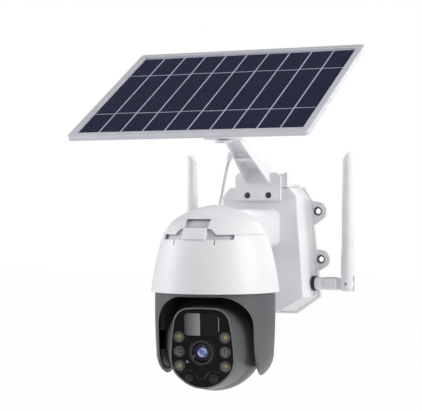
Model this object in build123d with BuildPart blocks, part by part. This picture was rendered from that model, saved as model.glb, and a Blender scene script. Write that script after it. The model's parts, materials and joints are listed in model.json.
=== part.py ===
from build123d import *
from math import acos, cos, pi, radians, sin, sqrt, tan
import os

# Solar-powered pan-and-tilt security camera for a wall.
# Millimetres. +Z up, +Y into the wall, +X to the right of someone who faces the camera.
# The origin is on the wall plane, on the centre line, midway between the upper and lower screw holes.

os.makedirs("parts", exist_ok=True)

# ---------------------------------------------------------------- driving dimensions
wall = 2.5                      # moulded shells
running_gap = 0.05              # radial clearance of every turning fit

# wall box: right halves of its outlines, as (x, z) from the top round to the bottom
box_front_y = -38.4
cover_thick = 5.0
box_front_outline = [(31.6, 47.2), (39.4, 39.0), (46.6, -60.0), (24.0, -73.2)]
box_back_outline = [(33.0, 47.3), (41.2, 36.0), (49.2, -61.0), (25.4, -76.2)]
cover_outline = [(34.5, 47.6), (42.5, 34.4), (52.4, -60.6), (26.8, -78.6)]
lug_holes = [(49.0, 23.9), (52.3, -23.9)]
lug_hole_r = 2.75
lug_counterbore_r = 4.5
lug_thick = 4.0

# hood and pan axis
pan_y = -143.0
seam_z = 2.6
rim_z = -49.8
slot_depth = 4.4
pan_rest = 9.0                  # the head's stored pan angle, degrees about +Z
tilt_rest = 4.0                 # the ball's stored angle below level, degrees

# head
ball_r = 46.0
ball_z = -95.5
ball_wall = 2.5
face_d = 45.0                   # ball centre to the front of the face rim
yoke_top_z = -43.0
yoke_wall = 3.5
opening_half = 44.6
opening_top_z = -52.6
opening_corner = 27.0
arm_end_r = 30.8
axle_r = 4.0

# pan drive
gear_module = 1.0
gear_teeth = 45
pinion_teeth = 15
gear_backlash = 0.16
gear_addendum = 0.85
gear_dedendum = 1.15
gear_z = -34.0
gear_thick = 6.0
drive_offset = gear_module * (gear_teeth + pinion_teeth) / 2
plate_top_z = -19.5
plate_thick = 2.5
bearing_r = 16.0
hub_r = 9.0

# bracket arm and panel joint
arm_half_low = 12.8             # half the channel's width at the box and at the pad
arm_half_high = 7.8
arm_wall = 1.9
pad_top_z = 94.2
pad_y = -124.0
pad_r = 18.5
hinge_z = 114.6
bolt_r = 3.0

# panel
panel_w = 235.0
panel_d = 175.7
panel_thick = 5.0
panel_tilt = 30.36
panel_centre = (0.0, -137.0, 136.8)
rim_x = 6.1
rim_y = 6.4
cell_count = 10
cell_gap = 1.1

# antennas
antenna_x = 84.0
antenna_y = -14.0
antenna_z = -47.3
antenna_top_z = 82.0
antenna_bottom_z = -54.6
stub_r = 6.5
rod_r_low = 6.75
rod_r_high = 4.9

# charging lead
lead_d = 2.8
lead_route = [
    (-17.4, -73.0, 72.6),
    (-19.6, -73.0, 65.0),
    (-22.6, -73.0, 50.0),
    (-27.2, -72.4, 30.0),
    (-31.4, -70.6, 6.0),
    (-34.4, -67.2, -18.0),
    (-36.0, -62.6, -42.0),
    (-36.2, -58.9, -64.0),
    (-35.7, -57.0, -79.0),
    (-35.4, -56.4, -90.0),
    (-35.2, -56.1, -100.4),
    (-32.2, -52.0, -109.6),
    (-26.8, -44.5, -115.0),
    (-20.6, -35.9, -115.0),
    (-15.2, -28.4, -109.6),
    (-12.1, -24.1, -100.4),
    (-12.0, -24.0, -90.4),
]
socket_x = -12.0
socket_y = -24.0


# ---------------------------------------------------------------- shared helpers
def save(builder, name):
    """Label a finished piece and write it as its own file."""
    builder.part.label = name
    export_step(builder.part, f"parts/{name}.step")


def facing_front(y, x=0.0, z=0.0):
    """A plane whose normal points to the front, with x to the right and y up."""
    return Plane(origin=(x, y, z), x_dir=(1, 0, 0), z_dir=(0, -1, 0))


def facing_right(x, y=0.0, z=0.0):
    """A plane whose normal points to +X, with x towards the wall and y up."""
    return Plane(origin=(x, y, z), x_dir=(0, 1, 0), z_dir=(1, 0, 0))


def mirrored(half):
    """A closed outline from its right half, which runs from the top to the bottom."""
    return half + [(-x, z) for x, z in reversed(half)]


def shrunk(half, inset):
    """The right half of an outline, moved in by about inset on every side."""
    middle = (half[0][1] + half[-1][1]) / 2
    return [(x - inset, z - inset if z > middle else z + inset) for x, z in half]


# =============================================================== wall box
with BuildPart() as battery_box:
    with BuildSketch(facing_front(box_front_y)):
        Polygon(mirrored(box_front_outline), align=None)
    with BuildSketch(facing_front(-cover_thick)):
        Polygon(mirrored(box_back_outline), align=None)
    loft()
    fillet(battery_box.edges().group_by(Axis.Y)[0], 1.5)
    with BuildSketch(facing_front(box_front_y + wall)):
        Polygon(mirrored(shrunk(box_front_outline, wall)), align=None)
    with BuildSketch(facing_front(-cover_thick)):
        Polygon(mirrored(shrunk(box_back_outline, wall)), align=None)
    loft(mode=Mode.SUBTRACT)
    # cable way into the neck
    with BuildSketch(facing_front(box_front_y - 1, 0, 7)):
        Circle(6)
    extrude(amount=-(wall + 2), mode=Mode.SUBTRACT)
    # antenna sockets, one each side
    with BuildSketch(facing_right(40, antenna_y, antenna_z)):
        Circle(4)
    extrude(amount=15, mode=Mode.SUBTRACT)
    with BuildSketch(facing_right(-40, antenna_y, antenna_z)):
        Circle(4)
    extrude(amount=-15, mode=Mode.SUBTRACT)
    # charge socket and power button, in the underside
    with BuildSketch(Plane.XY.offset(-80)):
        with Locations((socket_x, socket_y)):
            Circle(5)
        with Locations((12, socket_y)):
            Circle(4)
    extrude(amount=15, mode=Mode.SUBTRACT)
    # holes for the two bracket screws
    with BuildSketch(facing_front(box_front_y - 1)):
        with Locations((11.2, 39.6), (-11.2, 39.6)):
            Circle(1.6)
    extrude(amount=-14, mode=Mode.SUBTRACT)
save(battery_box, "battery_box")

with BuildPart() as box_seal:
    with BuildSketch(facing_front(-cover_thick)):
        Polygon(mirrored(shrunk(box_back_outline, wall + 0.4)), align=None)
        Polygon(mirrored(shrunk(box_back_outline, wall + 2.4)), align=None, mode=Mode.SUBTRACT)
    extrude(amount=1.5)
save(box_seal, "box_seal")

cover_screw_places = [(35, 26), (-35, 26), (38, -52), (-38, -52)]
with BuildPart() as rear_cover:
    with BuildSketch(facing_front(0)):
        Polygon(mirrored(cover_outline), align=None)
    extrude(amount=cover_thick)
    chamfer(rear_cover.edges().group_by(Axis.Y)[0], 1.0)
    for side in (1, -1):
        for x, z in lug_holes:
            with BuildSketch(facing_front(0)):
                with Locations((side * x, z)):
                    Circle(9)
                with BuildLine():
                    Polyline((side * 42.3, z + 10.5), (side * 45, z - 14), (side * 40, z), close=True)
                make_face()
                make_hull()
            extrude(amount=lug_thick)
    for side in (1, -1):
        for x, z in lug_holes:
            with BuildSketch(facing_front(0, side * x, z)):
                Circle(lug_hole_r)
            extrude(amount=cover_thick, mode=Mode.SUBTRACT)
            with BuildSketch(facing_front(-2, side * x, z)):
                Circle(lug_counterbore_r)
            extrude(amount=cover_thick, mode=Mode.SUBTRACT)
    with BuildSketch(facing_front(0)):
        with Locations(*cover_screw_places):
            Circle(1.6)
    extrude(amount=cover_thick, mode=Mode.SUBTRACT)
    with BuildSketch(facing_front(0)):
        with Locations(*cover_screw_places):
            Circle(3.2)
    extrude(amount=2, mode=Mode.SUBTRACT)
save(rear_cover, "rear_cover")

with BuildPart() as cover_screws:
    with BuildSketch(facing_front(-0.2)):
        with Locations(*cover_screw_places):
            Circle(3.0)
    extrude(amount=1.8)
    with BuildSketch(facing_front(-2)):
        with Locations(*cover_screw_places):
            Circle(1.5)
    extrude(amount=12)
save(cover_screws, "cover_screws")

# four round cells lie across the box, in a tray, with the main board above them
cell_z = [-53, -33, -13, 7]
cell_r = 9.0
with BuildPart() as battery_holder:
    with BuildSketch(facing_front(-8, 0, -22)):
        RectangleRounded(70, 76, 3)
    extrude(amount=14)
    for z in cell_z:
        with BuildSketch(facing_right(-34, -20, z)):
            Circle(cell_r + 0.1)
        extrude(amount=68, mode=Mode.SUBTRACT)
save(battery_holder, "battery_holder")

with BuildPart() as battery_cells:
    for z in cell_z:
        with BuildSketch(facing_right(-32.6, -20, z)):
            Circle(cell_r)
        extrude(amount=65.2)
        with BuildSketch(facing_right(32.6, -20, z)):
            Circle(2.8)
        extrude(amount=1.2)
save(battery_cells, "battery_cells")

with BuildPart() as main_board:
    with BuildSketch(facing_front(-14, 0, 26)):
        Rectangle(58, 20)
    extrude(amount=1.6)
    with BuildSketch(facing_front(-15.6, -8, 26)):
        Rectangle(14, 14)
        with Locations((22, 1)):
            Rectangle(10, 8)
    extrude(amount=2.2)
save(main_board, "main_board")

with BuildPart() as charge_socket:
    with BuildSketch(Plane.XY.offset(-80)):
        with Locations((socket_x, socket_y)):
            Circle(7)
    extrude(amount=8)
    add(battery_box.part, mode=Mode.SUBTRACT)
    with BuildSketch(Plane.XY.offset(-80)):
        with Locations((socket_x, socket_y)):
            Circle(4.9)
    extrude(amount=14)
    with BuildSketch(Plane.XY.offset(-80)):
        with Locations((socket_x, socket_y)):
            Circle(3.2)
    extrude(amount=12, mode=Mode.SUBTRACT)
save(charge_socket, "charge_socket")

with BuildPart() as power_button:
    with BuildSketch(Plane.XY.offset(-76)):
        with Locations((12, socket_y)):
            Circle(3.9)
    extrude(amount=10)
    fillet(power_button.edges().group_by(Axis.Z)[0], 0.8)
save(power_button, "power_button")

# =============================================================== hood and neck
# bell-shaped hood: the points of its outer section, each with its outward normal, and
# the middle point of the arc that leads on from it
hood_points = [
    ((0.0, 29.7), (0.0, 1.0)),
    ((24.0, 23.9), (0.4545, 0.8907)),
    ((39.2, 15.0), (0.717, 0.697)),
    ((45.75, 6.7), (0.857, 0.514)),
    ((50.0, -3.0), (0.966, 0.259)),
    ((55.6, -26.2), (0.98, 0.195)),
    ((59.3, -49.8), (1.0, 0.0)),
]
pan_axis = Axis((0, pan_y, 0), (0, 0, 1))
hood_section = facing_front(pan_y)


def hood_arcs(inset):
    """Draw the hood's section line from its crown to its rim, moved in by inset."""
    p = [(x - inset * nx, z - inset * nz) for (x, z), (nx, nz) in hood_points]
    ThreePointArc(p[0], p[1], p[2])
    ThreePointArc(p[2], p[3], p[4])
    ThreePointArc(p[4], p[5], p[6])
    return p


def hood_solid(builder_mode, inset, low_z):
    """Turn the filled hood section, closed from the rim to low_z, about the pan axis."""
    with BuildSketch(hood_section, mode=Mode.PRIVATE) as section:
        with BuildLine():
            p = hood_arcs(inset)
            Polyline(p[-1], (0, low_z), p[0])
        make_face()
    revolve(section.sketch, axis=pan_axis, mode=builder_mode)


slot_half = 44.0
tab_half = 14.0
slot_x = 49.5 * sin(radians(slot_half))
tab_x = 47.0 * sin(radians(tab_half))

with BuildPart() as hood_cap:
    hood_solid(Mode.ADD, 0, rim_z - 1)
    hood_solid(Mode.SUBTRACT, wall, rim_z - 2)
    with BuildSketch(Plane.XY.offset(seam_z + 0.2)):
        Rectangle(400, 600)
    extrude(amount=-80, mode=Mode.SUBTRACT)
    # recess above the latch, and the sloped relief each side of it
    with BuildSketch(facing_front(pan_y - 30, 0, 0)):
        with Locations((0, 13.4)):
            Rectangle(2 * tab_x + 1.2, 6.8)
    extrude(amount=30, mode=Mode.SUBTRACT)
    with BuildSketch(facing_front(pan_y - 30, 0, 0)):
        with BuildLine():
            Polyline(
                (tab_x + 0.3, seam_z - 1), (tab_x + 0.3, 8.4), (tab_x + 4, 7.6), (22, seam_z - 1),
                close=True,
            )
        make_face()
        mirror(about=Plane.YZ)
        Rectangle(2 * tab_x + 0.6, 19.6)
    extrude(amount=30, mode=Mode.SUBTRACT)
save(hood_cap, "hood_cap")

with BuildPart() as hood_latch:
    hood_solid(Mode.ADD, -1.0, rim_z - 1)
    hood_solid(Mode.SUBTRACT, 3.2, rim_z - 2)
    with BuildSketch(facing_front(pan_y - 25)):
        with Locations((0, 3.8)):
            Rectangle(2 * tab_x, 10.8)
    extrude(amount=40, mode=Mode.INTERSECT)
save(hood_latch, "hood_latch")

ledge_z = plate_top_z - plate_thick
with BuildPart() as hood_skirt:
    hood_solid(Mode.ADD, 0, rim_z)
    hood_solid(Mode.SUBTRACT, wall, rim_z - 1)
    with BuildSketch(Plane.XY.offset(seam_z)):
        Rectangle(400, 600)
    extrude(amount=80, mode=Mode.SUBTRACT)
    # front slot that the latch reaches into
    with BuildSketch(facing_front(pan_y - 20)):
        with Locations((0, seam_z)):
            Rectangle(2 * slot_x, 2 * slot_depth)
    extrude(amount=40, mode=Mode.SUBTRACT)
    with BuildSketch(facing_front(pan_y - 30)):
        with Locations((20, -3.6), (-20, -3.6)):
            Rectangle(1.2, 5)
    extrude(amount=30, mode=Mode.SUBTRACT)
    # ring that carries the motor plate
    with BuildSketch(Plane(origin=(0, pan_y, ledge_z), z_dir=(0, 0, 1))):
        Circle(53)
        Circle(46, mode=Mode.SUBTRACT)
    extrude(amount=-3)
    with BuildSketch(Plane(origin=(0, pan_y, ledge_z), z_dir=(0, 0, 1))):
        with PolarLocations(48.2, 3, start_angle=30):
            Circle(1.3)
    extrude(amount=-3, mode=Mode.SUBTRACT)
    # cable way from the neck
    with BuildSketch(facing_front(pan_y + 60, 0, -6)):
        Circle(5)
    extrude(amount=25, mode=Mode.SUBTRACT)
save(hood_skirt, "hood_skirt")

neck_half = 22.4
neck_top_z = 26.0
neck_bottom_z = -11.0
neck_mid_z = (neck_top_z + neck_bottom_z) / 2
with BuildPart() as neck_arm:
    with BuildSketch(facing_front(box_front_y, 0, neck_mid_z)):
        RectangleRounded(2 * neck_half, neck_top_z - neck_bottom_z, 7)
    extrude(amount=100)
    with BuildSketch(facing_front(box_front_y, 0, neck_mid_z)):
        RectangleRounded(2 * neck_half - 6, neck_top_z - neck_bottom_z - 6, 4)
    extrude(amount=110, mode=Mode.SUBTRACT)
    hood_solid(Mode.SUBTRACT, 0, rim_z - 1)
save(neck_arm, "neck_arm")

# =============================================================== pan drive, inside the hood
motor_y = pan_y + drive_offset
with BuildPart() as motor_plate:
    with BuildSketch(Plane(origin=(0, pan_y, plate_top_z), z_dir=(0, 0, 1))):
        Circle(50.2)
        Circle(bearing_r + 0.02, mode=Mode.SUBTRACT)
        with PolarLocations(48.2, 3, start_angle=30):
            Circle(1.6, mode=Mode.SUBTRACT)
        with Locations((0, drive_offset)):
            Circle(4.5, mode=Mode.SUBTRACT)
    extrude(amount=-plate_thick)
    with BuildSketch(Plane(origin=(0, pan_y, ledge_z), z_dir=(0, 0, 1))):
        Circle(bearing_r + 2)
        Circle(bearing_r + 0.02, mode=Mode.SUBTRACT)
    extrude(amount=-3)
    with BuildSketch(Plane(origin=(0, pan_y, plate_top_z), z_dir=(0, 0, 1))):
        Circle(bearing_r + 1.2)
        Circle(bearing_r + 0.02, mode=Mode.SUBTRACT)
    extrude(amount=1.5)
save(motor_plate, "motor_plate")

with BuildPart() as plate_screws:
    with BuildSketch(Plane(origin=(0, pan_y, plate_top_z), z_dir=(0, 0, 1))):
        with PolarLocations(48.2, 3, start_angle=30):
            Circle(1.9)
    extrude(amount=1.6)
    with BuildSketch(Plane(origin=(0, pan_y, plate_top_z), z_dir=(0, 0, 1))):
        with PolarLocations(48.2, 3, start_angle=30):
            Circle(1.3)
    extrude(amount=-5)
save(plate_screws, "plate_screws")

with BuildPart() as pan_bearing:
    with BuildSketch(Plane(origin=(0, pan_y, ledge_z - 3), z_dir=(0, 0, 1))):
        Circle(bearing_r)
        Circle(hub_r, mode=Mode.SUBTRACT)
    extrude(amount=7)
    with BuildSketch(Plane(origin=(0, pan_y, ledge_z + 4), z_dir=(0, 0, 1))):
        Circle(bearing_r - 2)
        Circle(hub_r + 2, mode=Mode.SUBTRACT)
    extrude(amount=-0.6, mode=Mode.SUBTRACT)
save(pan_bearing, "pan_bearing")

with BuildPart() as pan_motor:
    with BuildSketch(Plane(origin=(0, motor_y, plate_top_z), z_dir=(0, 0, 1))):
        Circle(12.5)
    extrude(amount=17)
    fillet(pan_motor.edges().group_by(Axis.Z)[-1], 1.5)
    with BuildSketch(Plane(origin=(0, motor_y, plate_top_z), z_dir=(0, 0, 1))):
        Circle(2.5 + running_gap)
    extrude(amount=8, mode=Mode.SUBTRACT)
save(pan_motor, "pan_motor")


def involute(angle):
    """The involute function of an angle in radians."""
    return tan(angle) - angle


def gear_face(teeth, phase):
    """Draw a spur gear's outline with a tooth centred at phase degrees."""
    pitch_r = gear_module * teeth / 2
    base_r = pitch_r * cos(radians(20))
    root_r = pitch_r - gear_dedendum * gear_module
    tip_r = pitch_r + gear_addendum * gear_module
    half_at_pitch = pi / (2 * teeth) - gear_backlash / (4 * pitch_r)
    start_r = max(base_r, root_r)
    flank = []
    for step in range(4):
        r = start_r + (tip_r - start_r) * step / 3
        half = half_at_pitch + involute(radians(20)) - involute(acos(min(1.0, base_r / r)))
        flank.append((r, half))
    if root_r < base_r:
        flank.insert(0, (root_r, flank[0][1]))
    points = []
    for tooth in range(teeth):
        middle = radians(phase) + 2 * pi * tooth / teeth
        for r, half in flank:
            points.append((r * cos(middle - half), r * sin(middle - half)))
        for r, half in reversed(flank):
            points.append((r * cos(middle + half), r * sin(middle + half)))
    Polygon(points, align=None)


with BuildPart() as pan_gear:
    with BuildSketch(Plane(origin=(0, pan_y, gear_z), z_dir=(0, 0, 1))):
        gear_face(gear_teeth, 90)
        Circle(hub_r, mode=Mode.SUBTRACT)
        with PolarLocations(15.2, 6):
            Circle(3.2, mode=Mode.SUBTRACT)
    extrude(amount=gear_thick)
save(pan_gear, "pan_gear")

with BuildPart() as pan_pinion:
    with BuildSketch(Plane(origin=(0, motor_y, gear_z - 0.5), z_dir=(0, 0, 1))):
        gear_face(pinion_teeth, 270 + 180 / pinion_teeth)
    extrude(amount=gear_thick + 1)
    with BuildSketch(Plane(origin=(0, motor_y, gear_z), z_dir=(0, 0, 1))):
        Circle(2.5)
    extrude(amount=plate_top_z + 7 - gear_z)
save(pan_pinion, "pan_pinion")

# =============================================================== head
head_right = (cos(radians(pan_rest)), sin(radians(pan_rest)), 0)
head_front = (sin(radians(pan_rest)), -cos(radians(pan_rest)), 0)
head_back = (-head_front[0], -head_front[1], 0)


def head_facing(forward, z=0.0):
    """A plane across the head, its normal to the head's front, y up, forward of the pan axis."""
    origin = (forward * head_front[0], pan_y + forward * head_front[1], z)
    return Plane(origin=origin, x_dir=head_right, z_dir=head_front)


def head_side(right, z=0.0):
    """A plane along the head, its normal to the head's right, x to the back, y up."""
    origin = (right * head_right[0], pan_y + right * head_right[1], z)
    return Plane(origin=origin, x_dir=head_back, z_dir=head_right)


with BuildPart() as pan_hub:
    with BuildSketch(Plane(origin=(0, pan_y, yoke_top_z), z_dir=(0, 0, 1))):
        Circle(22)
        Circle(6, mode=Mode.SUBTRACT)
    extrude(amount=3)
    with BuildSketch(Plane(origin=(0, pan_y, yoke_top_z), z_dir=(0, 0, 1))):
        Circle(13)
        Circle(6, mode=Mode.SUBTRACT)
    extrude(amount=gear_z - yoke_top_z)
    with BuildSketch(Plane(origin=(0, pan_y, gear_z), z_dir=(0, 0, 1))):
        Circle(hub_r - running_gap)
        Circle(6, mode=Mode.SUBTRACT)
    extrude(amount=22)
save(pan_hub, "pan_hub")

with BuildPart() as hub_retainer:
    with BuildSketch(Plane(origin=(0, pan_y, ledge_z + 4.3), z_dir=(0, 0, 1))):
        Circle(12.5)
        Circle(hub_r - running_gap, mode=Mode.SUBTRACT)
    extrude(amount=2.2)
save(hub_retainer, "hub_retainer")

yoke_end_z = ball_z - arm_end_r
with BuildPart() as yoke:
    with BuildSketch(hood_section):
        with BuildLine():
            Polyline((0, yoke_top_z), (53.4, yoke_top_z), (55.4, yoke_top_z - 3), (55.6, -56))
            ThreePointArc((55.6, -56), (55.3, -82), (54.2, -106))
            ThreePointArc((54.2, -106), (51.3, -118), (43.5, yoke_end_z - 0.5))
            Polyline((43.5, yoke_end_z - 0.5), (0, yoke_end_z - 0.5), (0, yoke_top_z))
        make_face()
    revolve(axis=pan_axis)
    with BuildSketch(hood_section):
        with BuildLine():
            Polyline((0, yoke_top_z - yoke_wall), (51.8, yoke_top_z - yoke_wall), (52.1, -56))
            ThreePointArc((52.1, -56), (51.8, -82), (50.8, -105))
            ThreePointArc((50.8, -105), (48.2, -115.6), (41.0, yoke_end_z + 3))
            Polyline(
                (41.0, yoke_end_z + 3),
                (37.5, yoke_end_z - 2),
                (0, yoke_end_z - 2),
                (0, yoke_top_z - yoke_wall),
            )
        make_face()
    revolve(axis=pan_axis, mode=Mode.SUBTRACT)
    # openings at the front and the back, with the two arms left between them
    with BuildSketch(head_facing(0)):
        with Locations((0, opening_top_z - 60)):
            RectangleRounded(2 * opening_half, 120, opening_corner)
        with Locations((0, opening_top_z - 90)):
            Rectangle(2 * opening_half, 100)
    extrude(amount=60, both=True, mode=Mode.SUBTRACT)
    # round ends of the arms, centred on the tilt axis
    with BuildSketch(head_side(0)):
        with Locations((0, ball_z)):
            Circle(arm_end_r)
        with Locations((0, ball_z + 40)):
            Rectangle(130, 80)
    extrude(amount=60, both=True, mode=Mode.INTERSECT)
    for side in (1, -1):
        with BuildSketch(head_side(side * 47.0, ball_z)):
            Circle(9)
        extrude(amount=side * 4.6)
        with BuildSketch(head_side(side * 47.0, ball_z)):
            Circle(6.5)
        extrude(amount=side * 4.6, mode=Mode.SUBTRACT)
    # cable hole below the hub
    with BuildSketch(Plane(origin=(0, pan_y, yoke_top_z), z_dir=(0, 0, 1))):
        Circle(6)
    extrude(amount=-10, mode=Mode.SUBTRACT)
save(yoke, "yoke")

with BuildPart() as yoke_bushes:
    for side in (1, -1):
        with BuildSketch(head_side(side * 46.8, ball_z)):
            Circle(6.5)
            Circle(axle_r + running_gap, mode=Mode.SUBTRACT)
        extrude(amount=side * 4.8)
save(yoke_bushes, "yoke_bushes")

# =============================================================== ball
ball_centre = Vector(0, pan_y, ball_z)
face_normal = Vector(*head_front) * cos(radians(tilt_rest)) - Vector(0, 0, sin(radians(tilt_rest)))


def face_plane(depth, x=0.0, y=0.0):
    """A plane across the ball at depth in front of its centre, y up the face."""
    base = Plane(origin=ball_centre, x_dir=head_right, z_dir=face_normal)
    origin = base.from_local_coords(Vector(x, y, depth))
    return Plane(origin=origin, x_dir=head_right, z_dir=face_normal)


# the face outline: corner points clockwise from the top, each with the middle of the next arc
face_corners = [
    (-11, 36.2), (11, 36.2), (26.6, 23.5), (30.2, -10),
    (19.6, -29.4), (-19.6, -29.4), (-30.2, -10), (-26.6, 23.5),
]
face_middles = [
    (0, 36.6), (21.8, 32.4), (29.2, 7), (27.2, -21.2),
    (0, -36.8), (-27.2, -21.2), (-29.2, 7), (-21.8, 32.4),
]


def face_outline(inset):
    """Draw the face outline, moved in by inset."""
    def moved(point):
        reach = sqrt(point[0] ** 2 + point[1] ** 2)
        return (point[0] * (1 - inset / reach), point[1] * (1 - inset / reach))
    count = len(face_corners)
    for i in range(count):
        ThreePointArc(moved(face_corners[i]), moved(face_middles[i]), moved(face_corners[(i + 1) % count]))


def ball_circle(radius):
    """Draw a circle in arcs that end where the face outline's arcs end."""
    def at(point):
        return Vector(point[0], point[1]).normalized() * radius
    count = len(face_corners)
    for i in range(count):
        ThreePointArc(at(face_corners[i]), at(face_middles[i]), at(face_corners[(i + 1) % count]))


def ball_solid(builder_mode, inset):
    """The ball and the nose that leads forward to its face, moved in by inset."""
    with BuildSketch(face_plane(0), mode=Mode.PRIVATE) as half_disc:
        with BuildLine():
            CenterArc((0, 0), ball_r - inset, -90, 180)
            Line((0, ball_r - inset), (0, -(ball_r - inset)))
        make_face()
    revolve(half_disc.sketch, axis=Axis(ball_centre, face_plane(0).y_dir), mode=builder_mode)
    shoulder = 20.0
    shoulder_r = sqrt((ball_r - inset) ** 2 - shoulder ** 2)
    with BuildSketch(face_plane(shoulder), mode=Mode.PRIVATE) as round_end:
        with BuildLine():
            ball_circle(shoulder_r)
        make_face()
    with BuildSketch(face_plane(face_d - inset), mode=Mode.PRIVATE) as face_end:
        with BuildLine():
            face_outline(inset)
        make_face()
    loft([round_end.sketch.face(), face_end.sketch.face()], mode=builder_mode)


split_depth = -8.0
with BuildPart() as ball_front:
    ball_solid(Mode.ADD, 0)
    ball_solid(Mode.SUBTRACT, ball_wall)
    with BuildSketch(face_plane(split_depth)):
        Rectangle(120, 120)
    extrude(amount=-60, mode=Mode.SUBTRACT)
    # seat for the face plate
    with BuildSketch(face_plane(face_d - 2.2)):
        with BuildLine():
            face_outline(1.4)
        make_face()
    extrude(amount=5, mode=Mode.SUBTRACT)
    with BuildSketch(face_plane(face_d - 4)):
        with BuildLine():
            face_outline(1.9)
        make_face()
    extrude(amount=5, mode=Mode.SUBTRACT)
    for side in (1, -1):
        with BuildSketch(head_side(side * 38, ball_z)):
            Circle(7)
        extrude(amount=side * 6.4)
        with BuildSketch(head_side(side * 36, ball_z)):
            Circle(axle_r)
        extrude(amount=side * 12, mode=Mode.SUBTRACT)
save(ball_front, "ball_front")

with BuildPart() as ball_back:
    ball_solid(Mode.ADD, 0)
    ball_solid(Mode.SUBTRACT, ball_wall)
    with BuildSketch(face_plane(split_depth - 0.15)):
        Rectangle(120, 120)
    extrude(amount=80, mode=Mode.SUBTRACT)
save(ball_back, "ball_back")

with BuildPart() as tilt_axles:
    for side in (1, -1):
        with BuildSketch(head_side(side * 38, ball_z)):
            Circle(axle_r)
        extrude(amount=side * 13.2)
save(tilt_axles, "tilt_axles")

with BuildPart() as tilt_motor:
    with BuildSketch(head_side(18, ball_z)):
        Circle(10)
    extrude(amount=16)
    with BuildSketch(head_side(34, ball_z)):
        Circle(2)
    extrude(amount=4)
save(tilt_motor, "tilt_motor")

# face: plate, window, lens and lamps; positions are (x, y) on the face
window_place = (0.3, 21.2)
window_split = -1.8             # where the two panes meet, from the window's middle
window_size = (32.5, 19.8)
lens_place = (-0.5, -4.1)
lamp_x = 21.3
lamp_rows = (9.7, -3.4, -16.4)
lamp_r = 5.0
warm_lamps = [(s * lamp_x, y) for s in (1, -1) for y in (lamp_rows[0], lamp_rows[2])]
clear_lamps = [(s * lamp_x, lamp_rows[1]) for s in (1, -1)]
light_sensor_place = (-13.9, -12.6)
mic_place = (-12.6, -27.4)
speaker_place = (10.4, -27.4)

with BuildPart() as face_plate:
    with BuildSketch(face_plane(face_d - 2.2)):
        with BuildLine():
            face_outline(1.5)
        make_face()
        with Locations(window_place):
            RectangleRounded(window_size[0] + 0.2, window_size[1] + 0.2, 3.6, mode=Mode.SUBTRACT)
        with Locations(lens_place):
            Circle(12.7, mode=Mode.SUBTRACT)
        with Locations(*warm_lamps, *clear_lamps):
            Circle(lamp_r + 0.1, mode=Mode.SUBTRACT)
        with Locations(light_sensor_place, mic_place):
            Circle(1.2, mode=Mode.SUBTRACT)
        with Locations(speaker_place):
            Rectangle(7, 1.2, mode=Mode.SUBTRACT)
            Rectangle(1.2, 7, mode=Mode.SUBTRACT)
    extrude(amount=2.0)
save(face_plate, "face_plate")

with BuildPart() as sensor_window:
    with BuildSketch(face_plane(face_d - 2.2)):
        with Locations(window_place):
            RectangleRounded(window_size[0], window_size[1], 3.5)
            with Locations((window_split, 0)):
                Rectangle(60, 40, mode=Mode.SUBTRACT, align=(Align.MIN, Align.CENTER))
    extrude(amount=2.2)
save(sensor_window, "sensor_window")

with BuildPart() as lamp_window:
    with BuildSketch(face_plane(face_d - 2.2)):
        with Locations(window_place):
            RectangleRounded(window_size[0], window_size[1], 3.5)
            with Locations((window_split, 0)):
                Rectangle(60, 40, mode=Mode.SUBTRACT, align=(Align.MAX, Align.CENTER))
    extrude(amount=2.2)
save(lamp_window, "lamp_window")

with BuildPart() as lens_ring:
    with BuildSketch(face_plane(face_d - 8, *lens_place)):
        Circle(12.6)
        Circle(9.1, mode=Mode.SUBTRACT)
    extrude(amount=8.8)
    chamfer(lens_ring.edges().group_by(Axis(ball_centre, face_normal))[-1], 0.5)
save(lens_ring, "lens_ring")

with BuildPart() as lens_barrel:
    with BuildSketch(face_plane(18, *lens_place)):
        Circle(9.0)
    extrude(amount=25)
    with BuildSketch(face_plane(36, *lens_place)):
        Circle(6.4)
    extrude(amount=10, mode=Mode.SUBTRACT)
save(lens_barrel, "lens_barrel")

lens_dome_r = 9.8
with BuildPart() as lens_glass:
    with BuildSketch(face_plane(37, *lens_place)):
        Circle(6.3)
    extrude(amount=6)
    with Locations(face_plane(41.8 - lens_dome_r, *lens_place)):
        Sphere(lens_dome_r, mode=Mode.INTERSECT)
save(lens_glass, "lens_glass")


def lamps(places):
    """Domed lamps that stand through the face plate from the lamp board."""
    for place in places:
        with BuildSketch(face_plane(38.2, *place), mode=Mode.PRIVATE) as lamp:
            Circle(lamp_r)
        extrude(lamp.sketch, amount=face_d - 38.2)


with BuildPart() as warm_lamps_part:
    lamps(warm_lamps)
    front_edges = warm_lamps_part.edges().group_by(Axis(ball_centre, face_normal))[-1]
    fillet(front_edges, 0.6)
save(warm_lamps_part, "warm_lamps")

with BuildPart() as clear_lamps_part:
    lamps(clear_lamps)
    front_edges = clear_lamps_part.edges().group_by(Axis(ball_centre, face_normal))[-1]
    fillet(front_edges, 0.6)
save(clear_lamps_part, "clear_lamps")

with BuildPart() as lamp_board:
    with BuildSketch(face_plane(36.4)):
        with BuildLine():
            face_outline(5.5)
        make_face()
        with Locations(lens_place):
            Circle(12.8, mode=Mode.SUBTRACT)
    extrude(amount=1.6)
save(lamp_board, "lamp_board")

# =============================================================== bracket arm
base_half = 24.0
base_bottom_z = 34.6
base_top_z = 62.0
base_thick = 3.0
pad_thick = 3.0
pad_back_y = pad_y + pad_r
base_front_y = box_front_y - base_thick


def arm_half(y):
    """Half the channel's width at a distance y from the wall."""
    share = (base_front_y - y) / (base_front_y - pad_back_y)
    return arm_half_low + (arm_half_high - arm_half_low) * share


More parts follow.
